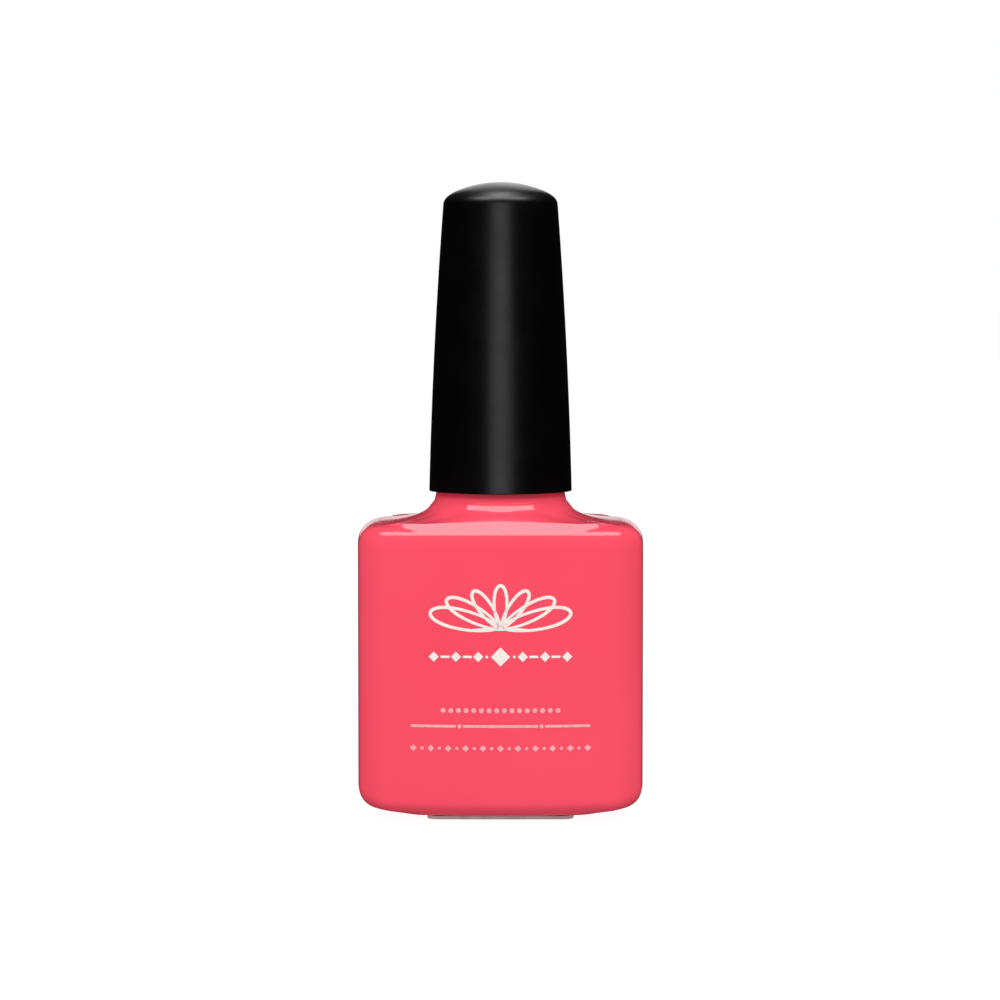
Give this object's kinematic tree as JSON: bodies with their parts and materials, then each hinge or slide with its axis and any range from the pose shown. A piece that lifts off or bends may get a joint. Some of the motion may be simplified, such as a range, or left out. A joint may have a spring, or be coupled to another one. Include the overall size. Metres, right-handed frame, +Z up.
{
  "type": "nail polish bottle",
  "caption": "Coated glass polish bottle with a rounded rectangular body and threaded neck, closed by a tall tapered cap that unscrews and lifts out an applicator brush.",
  "frame": {"origin": "centre of the foot's underside, on the neck's axis", "axes": "+X across the body's width, -Y out of the printed front face, +Z up along the neck to the cap"},
  "size_m": [0.034, 0.024, 0.075],
  "materials": {
    "coated_glass": "glossy coral coating over clear glass, ending at the ledge of the neck; the threaded neck and the foot are bare glass",
    "gel_polish": "wet gloss",
    "satin_black": "satin",
    "inner_black": "moulded matte",
    "seal_white": "soft foamed polyethylene",
    "stem_black": "moulded gloss",
    "bristle": "nylon filaments wetted with polish",
    "staple_steel": "drawn wire"
  },
  "bodies": {
    "bottle": {"bottle_glass": "coated_glass", "polish_fill": "gel_polish"},
    "seal": {"neck_seal": "seal_white"},
    "brush": {"brush_stem": "stem_black", "brush_bristles": "bristle", "brush_staple": "staple_steel"},
    "cap": {"overcap": "satin_black", "inner_cap": "inner_black"}
  },
  "joints": [
    {"name": "cap_pull", "type": "slide", "parent": "bottle", "child": "seal", "axis": [0, 0, 1], "range_m": [0, 0.057]},
    {"name": "thread_rise", "type": "slide", "parent": "seal", "child": "brush", "axis": [0, 0, 1], "range_m": [0, 0.0033]},
    {"name": "cap_turn", "type": "hinge", "parent": "brush", "child": "cap", "pos_m": [0, 0, 0.045], "axis": [0, 0, 1], "range_deg": [0, 540]}
  ],
  "couplings": [
    {"joint": "thread_rise", "follows": "cap_turn", "m_per_rad": 0.00033687}
  ]
}
